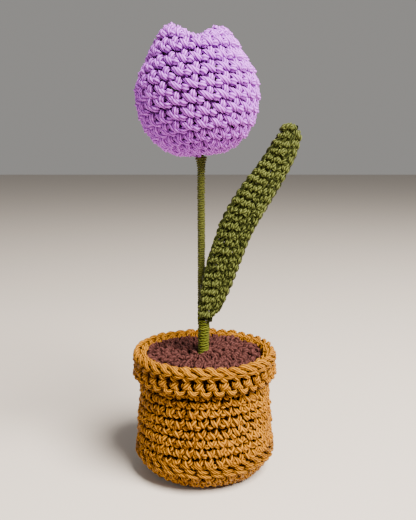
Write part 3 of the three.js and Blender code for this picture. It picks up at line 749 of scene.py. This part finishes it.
def work_cord(name, stitch, seed, uneven=1.0, middle=(27.4, 0.0), lean=0.0):
    """A part of the pot that is one run of cord round it, the same stitch over and over. It lies over the
    cloth's middle, a radius and a height, and the cloth faces outward, or turns up and in by lean
    degrees: these set how far it is darkened with painted shade."""
    draw = np.random.default_rng(seed)
    stitch = np.array(stitch)
    rows = []
    out, up = math.cos(math.radians(lean)), math.sin(math.radians(lean))
    for place in range(POT_STITCHES):
        run = stitch + draw.normal(0, 1, stitch.shape) * CORD_POINT_STRAYS * uneven
        run += draw.normal(0, 1, 4) * CORD_STITCH_STRAYS * uneven
        angle = 2 * math.pi * (place + run[:, 0]) / POT_STITCHES + math.pi / 2
        above = (run[:, 1] - middle[0]) * out + (run[:, 2] - middle[1]) * up
        rows.append(np.stack([run[:, 1] * MM * np.cos(angle), run[:, 1] * MM * np.sin(angle),
                              run[:, 2] * MM, run[:, 3], out * np.cos(angle), out * np.sin(angle),
                              np.full(len(angle), up), above * MM / POT_YARN - CORD_SINK], 1))
    rows = np.concatenate(rows)
    points = smooth_run(rows, np.arange(0, len(rows) - 1, 0.5))
    piece = spin_yarn(name, points[:, :3], points[:, 3], POT_YARN, CORD_PLIES, 12.0, points[:, 4:])
    finish_golden(piece, CORD_PLIES)


work_cord("pot_ridge", RIDGE_BRAID, seed=51)
work_cord("pot_ridge_loops", RIDGE_LOOPS, seed=55)


# The pot's rim: the golden cord turns over the edge as a chain. Outside it shows a fat upper lobe, a
# strand that runs out from under it and a thin lower leg. Inside it ends in a row of small loops, and
# the back of the wall shows below them as close upright strands, the lining.

RIM_CHAIN = [
    (0.00, 27.5, 50.7, 0.55), (0.06, 28.0, 51.3, 0.95), (0.30, 28.4, 51.5, 1.20), (0.62, 28.7, 51.2, 1.12),
    (0.86, 28.6, 50.7, 0.76), (0.90, 27.8, 50.2, 0.95), (0.60, 27.3, 49.9, 1.10), (0.42, 28.4, 50.5, 0.70),
    (0.60, 29.0, 50.5, 1.00), (0.90, 29.3, 50.1, 1.08), (1.20, 29.4, 49.7, 0.88), (1.48, 29.2, 49.3, 0.50),
    (1.46, 28.2, 49.2, 0.90), (1.00, 27.6, 49.0, 1.10), (0.50, 28.2, 48.4, 0.75), (0.60, 29.2, 48.4, 0.76),
    (0.92, 29.6, 48.6, 0.88), (1.22, 29.5, 48.9, 0.72), (1.42, 29.1, 49.1, 0.50), (1.30, 27.4, 49.6, 0.95),
]
RIM_INSIDE = [
    (0.05, 26.9, 49.6, 0.80), (0.12, 27.0, 50.5, 1.05), (0.35, 26.5, 50.9, 1.20), (0.62, 25.9, 50.7, 1.10),
    (0.78, 25.4, 49.9, 0.85), (0.60, 26.0, 49.0, 1.00), (0.88, 26.4, 49.2, 1.00),
]
LINING = [
    (0.00, 25.8, 43.5, 1.00), (0.04, 25.4, 46.5, 1.10), (0.12, 25.4, 50.0, 1.00), (0.20, 25.2, 46.5, 1.10),
    (0.25, 25.8, 43.5, 1.00), (0.30, 25.4, 46.5, 1.10), (0.37, 25.2, 50.3, 1.00), (0.45, 25.2, 46.5, 1.10),
    (0.50, 25.8, 43.5, 1.00), (0.55, 25.4, 46.5, 1.10), (0.62, 25.5, 50.1, 1.00), (0.70, 25.2, 46.5, 1.10),
    (0.75, 25.8, 43.5, 1.00), (0.80, 25.4, 46.5, 1.10), (0.87, 25.2, 50.4, 1.00), (0.95, 25.2, 46.5, 1.10),
]
work_cord("pot_rim", RIM_CHAIN, seed=52, middle=(27.0, 49.0), lean=45)
work_cord("pot_rim_inside", RIM_INSIDE, seed=56, uneven=1.3, middle=(26.0, 48.6), lean=90)
work_cord("pot_lining", LINING, seed=57, uneven=1.2, middle=(26.4, 47.0), lean=140)


# The pot's band: below the rim, a round of short golden posts with a hole between each pair, folded out
# over the wall, and the loops that hang from it as its lower edge.

BAND_POSTS = [
    (0.26, 27.4, 48.2, 0.60), (0.30, 28.3, 48.0, 0.95), (0.46, 28.9, 47.7, 1.20), (0.64, 28.9, 47.3, 1.15),
    (0.78, 28.2, 46.9, 0.85), (0.80, 27.2, 46.7, 0.60), (0.68, 27.3, 46.5, 0.60), (0.64, 28.4, 46.4, 0.95),
    (0.59, 29.0, 45.6, 1.28), (0.48, 29.1, 44.6, 1.28), (0.38, 28.6, 43.9, 0.85), (0.36, 27.5, 43.8, 0.60),
    (0.50, 27.0, 45.0, 0.80), (0.74, 27.4, 46.2, 0.60), (0.78, 28.2, 46.0, 0.90), (0.74, 28.9, 45.2, 1.20),
    (0.66, 28.9, 44.3, 1.15), (0.56, 28.2, 43.7, 0.80), (0.56, 27.2, 43.8, 0.60), (0.40, 27.0, 45.0, 0.80),
    (0.29, 27.4, 46.0, 0.60), (0.31, 28.4, 45.7, 0.95), (0.33, 28.7, 45.0, 1.12), (0.30, 28.2, 44.2, 0.80),
    (0.30, 27.2, 44.2, 0.60), (0.70, 26.9, 46.8, 0.60),
]
BAND_LOOPS = [
    (0.62, 27.4, 44.9, 0.60), (0.70, 28.5, 44.9, 0.85), (0.84, 29.1, 44.2, 1.02), (0.96, 28.8, 43.5, 0.85),
    (0.98, 27.6, 43.3, 0.60), (0.74, 27.4, 43.6, 0.60), (0.76, 28.6, 43.4, 0.85), (0.90, 29.3, 42.7, 1.08),
    (1.14, 29.5, 42.2, 1.15), (1.36, 29.2, 42.6, 1.02), (1.50, 28.5, 43.2, 0.78), (1.50, 27.4, 43.4, 0.60),
    (1.20, 27.2, 42.0, 0.60), (0.90, 28.0, 41.4, 0.80), (1.15, 28.4, 41.0, 0.95), (1.40, 28.0, 41.2, 0.80),
    (1.46, 27.0, 41.8, 0.60),
]
work_cord("pot_band", BAND_POSTS, seed=53)
work_cord("pot_band_edge", BAND_LOOPS, seed=54)


# The pot's filling: the same loose wool, packed in from the base up to the soil, so that the pot stands
# firm and holds the wires. Little light reaches it between the stitches, so it is given a darker, browner
# copy of the flower's wool colour as painted shade.

# the wool's tones, darkened as painted shade
GREY_GREEN_PAINTED_SHADE = [(0.03, 0.025, 0.012, 1), (0.12, 0.09, 0.04, 1)]
FILLING_OUTLINE = [(0.0, 3.0), (14.0, 3.0), (20.0, 3.6), (23.5, 6.0), (25.2, 9.0), (24.8, 20.0),
                   (24.0, 32.0), (23.0, 40.0), (22.6, 45.0), (20.0, 46.2), (0.0, 46.4)]
filling = stuff("pot_wool", FILLING_OUTLINE, steps=60, lumps=0.8, seed=7)
wool_material("grey_green_wool_painted_shade", filling, *GREY_GREEN_PAINTED_SHADE)
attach(filling, "root")
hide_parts("pot_filling")


# The soil: a flat round of single crochet in plum-brown yarn, worked from the stem out and pushed into
# the pot's mouth. There it sags a little at its edge, waves where it meets the pot, and rides up at the
# back on the right.

SOIL_YARN = 0.86 * MM
SOIL_PLIES = 4
SOIL_SINK = 2.0 * SOIL_YARN
SOIL_STITCHES = [6, 12, 18, 24, 30, 36]
SOIL_ROUNDS = len(SOIL_STITCHES)
SOIL_SLIP = 0.16 / 24
SOIL_HOLE = 2.0
SOIL_RADIUS = 25.0
SOIL_TOP = 50.9
SOIL_SAG = 0.03
SOIL_WAVE = 0.4
SOIL_RIDE_UP = 0.8
SOIL_RIDE_UP_AT = math.radians(45)
# its tones: painted shade, its own, and a paler one for its fibres and dye and for the painted highlight
# along the crests
PLUM_BROWN = [(0.016, 0.005, 0.004, 1), (0.048, 0.016, 0.013, 1), (0.105, 0.038, 0.033, 1)]

# each stitch shows as three knots: its two legs and the loop beyond them
KNOT_STITCH = [
    (0.30, 0.00, -0.8, 0.55), (0.28, 0.12, 0.35, 0.90), (0.24, 0.30, 0.95, 1.22), (0.20, 0.48, 0.60, 1.05),
    (0.17, 0.60, -0.6, 0.60), (0.42, 0.66, -1.2, 1.35), (0.66, 0.62, -0.6, 0.60), (0.68, 0.52, 0.40, 0.95),
    (0.70, 0.34, 0.95, 1.24), (0.72, 0.16, 0.45, 0.95), (0.74, 0.02, -0.7, 0.55), (0.86, 0.40, -1.2, 1.35),
    (0.88, 0.68, -0.5, 0.60), (0.94, 0.75, 0.50, 1.05), (1.03, 0.80, 0.95, 1.32), (1.12, 0.85, 0.40, 1.00),
    (1.17, 0.92, -0.7, 0.55), (1.22, 0.50, -1.2, 1.35),
]
KNOT_DETAIL = [1, 2, 2, 1, 1, 1, 1, 2, 2, 1, 1, 1, 1, 2, 2, 1, 1, 1]


def soil_surface(turns, rounds):
    """The soil's crest, in metres. It is worked the other way round from the pot, seen from above."""
    angle = -2 * math.pi * turns + math.pi / 2
    rounds = np.clip(rounds, 0, SOIL_ROUNDS + 0.3)
    radius = SOIL_HOLE + (SOIL_RADIUS - SOIL_HOLE) * rounds / SOIL_ROUNDS
    inner = 1 - rounds / SOIL_ROUNDS
    wave = SOIL_WAVE * np.sin(angle * 3 + rounds) * rounds / SOIL_ROUNDS
    height = SOIL_TOP - SOIL_SAG * (rounds - 1.5) ** 2 + wave
    height += SOIL_RIDE_UP * np.clip(np.cos(angle - SOIL_RIDE_UP_AT), 0, 1) * (rounds / SOIL_ROUNDS) ** 2
    return np.stack([STEM_FOOT[0] * inner + radius * np.cos(angle),
                     STEM_FOOT[1] * inner + radius * np.sin(angle), height], 1) * MM


soil_run = work_rounds(KNOT_STITCH, SOIL_STITCHES, SOIL_SLIP, uneven=2.6, seed=31)
soil_run[:, 1] = np.minimum(soil_run[:, 1], SOIL_ROUNDS)
soil = crochet("soil_round", soil_surface, soil_run, SOIL_YARN, SOIL_SINK, KNOT_DETAIL, SOIL_PLIES)
yarn_material("plum_brown_yarn", soil, *PLUM_BROWN, plies=SOIL_PLIES)
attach(soil, "root")
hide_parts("soil")


# The camera: it stands where the photo was taken from, as fitted to the outlines of rim, ridge and
# flower. That is four and a half pot widths away, level with the flower's foot and looking down a bit.
# The lens is one for film of the given width, both in millimetres.

CAMERA_PLACE = Vector((1.4, -269.64, 135.34)) * MM
CAMERA_DOWN = 9.69
FILM_WIDTH = 36.0
LENS = 57.53
eye = bpy.data.cameras.new("camera")
eye.sensor_fit = "HORIZONTAL"
eye.sensor_width = FILM_WIDTH
eye.lens = LENS
camera = bpy.data.objects.new("camera", eye)
camera.location = CAMERA_PLACE
camera.rotation_euler = (math.radians(90 - CAMERA_DOWN), 0, 0)
bpy.context.scene.collection.objects.link(camera)
bpy.context.scene.camera = camera


# The floor: one wide plain sheet of pale paper that the pot stands on, which is no part of the object.
# Its edges lie three metres off on every side.

FLOOR_HALF = 3.0
PAPER = (0.54, 0.48, 0.42, 1)
floor_form = bmesh.new()
bmesh.ops.create_grid(floor_form, x_segments=1, y_segments=1, size=FLOOR_HALF)
floor_mesh = bpy.data.meshes.new("floor")
floor_form.to_mesh(floor_mesh)
floor_form.free()
floor = bpy.data.objects.new("floor", floor_mesh)
bpy.context.scene.collection.objects.link(floor)
paper = bpy.data.materials.new("floor")
paper.use_nodes = True
paper.node_tree.nodes["Principled BSDF"].inputs["Base Color"].default_value = PAPER
floor.data.materials.append(paper)


# The light: one large warm softbox high in front on the right, a faint cooler one on the left, and an
# even pale glow from all round that keeps the shadows soft.

LIGHT_AIM = (0, 0, 0.09)


def softbox(name, place, width, power, colour):
    """A round soft lamp that faces the middle of the object."""
    lamp = bpy.data.lights.new(name, "AREA")
    lamp.shape = "DISK"
    lamp.size = width
    lamp.energy = power
    lamp.color = colour
    holder = bpy.data.objects.new(name, lamp)
    holder.location = place
    holder.rotation_euler = (Vector(LIGHT_AIM) - Vector(place)).to_track_quat("-Z", "Y").to_euler()
    bpy.context.scene.collection.objects.link(holder)


softbox("key", (0.40, -0.40, 0.78), width=0.55, power=52.0, colour=(1.0, 0.95, 0.89))
softbox("fill", (-0.7, -0.5, 0.4), width=0.7, power=2.0, colour=(0.95, 0.97, 1.0))
glow = bpy.data.worlds.new("glow")
glow.use_nodes = True
glow.node_tree.nodes["Background"].inputs["Color"].default_value = (1.0, 0.97, 0.93, 1)
glow.node_tree.nodes["Background"].inputs["Strength"].default_value = 0.29
bpy.context.scene.world = glow
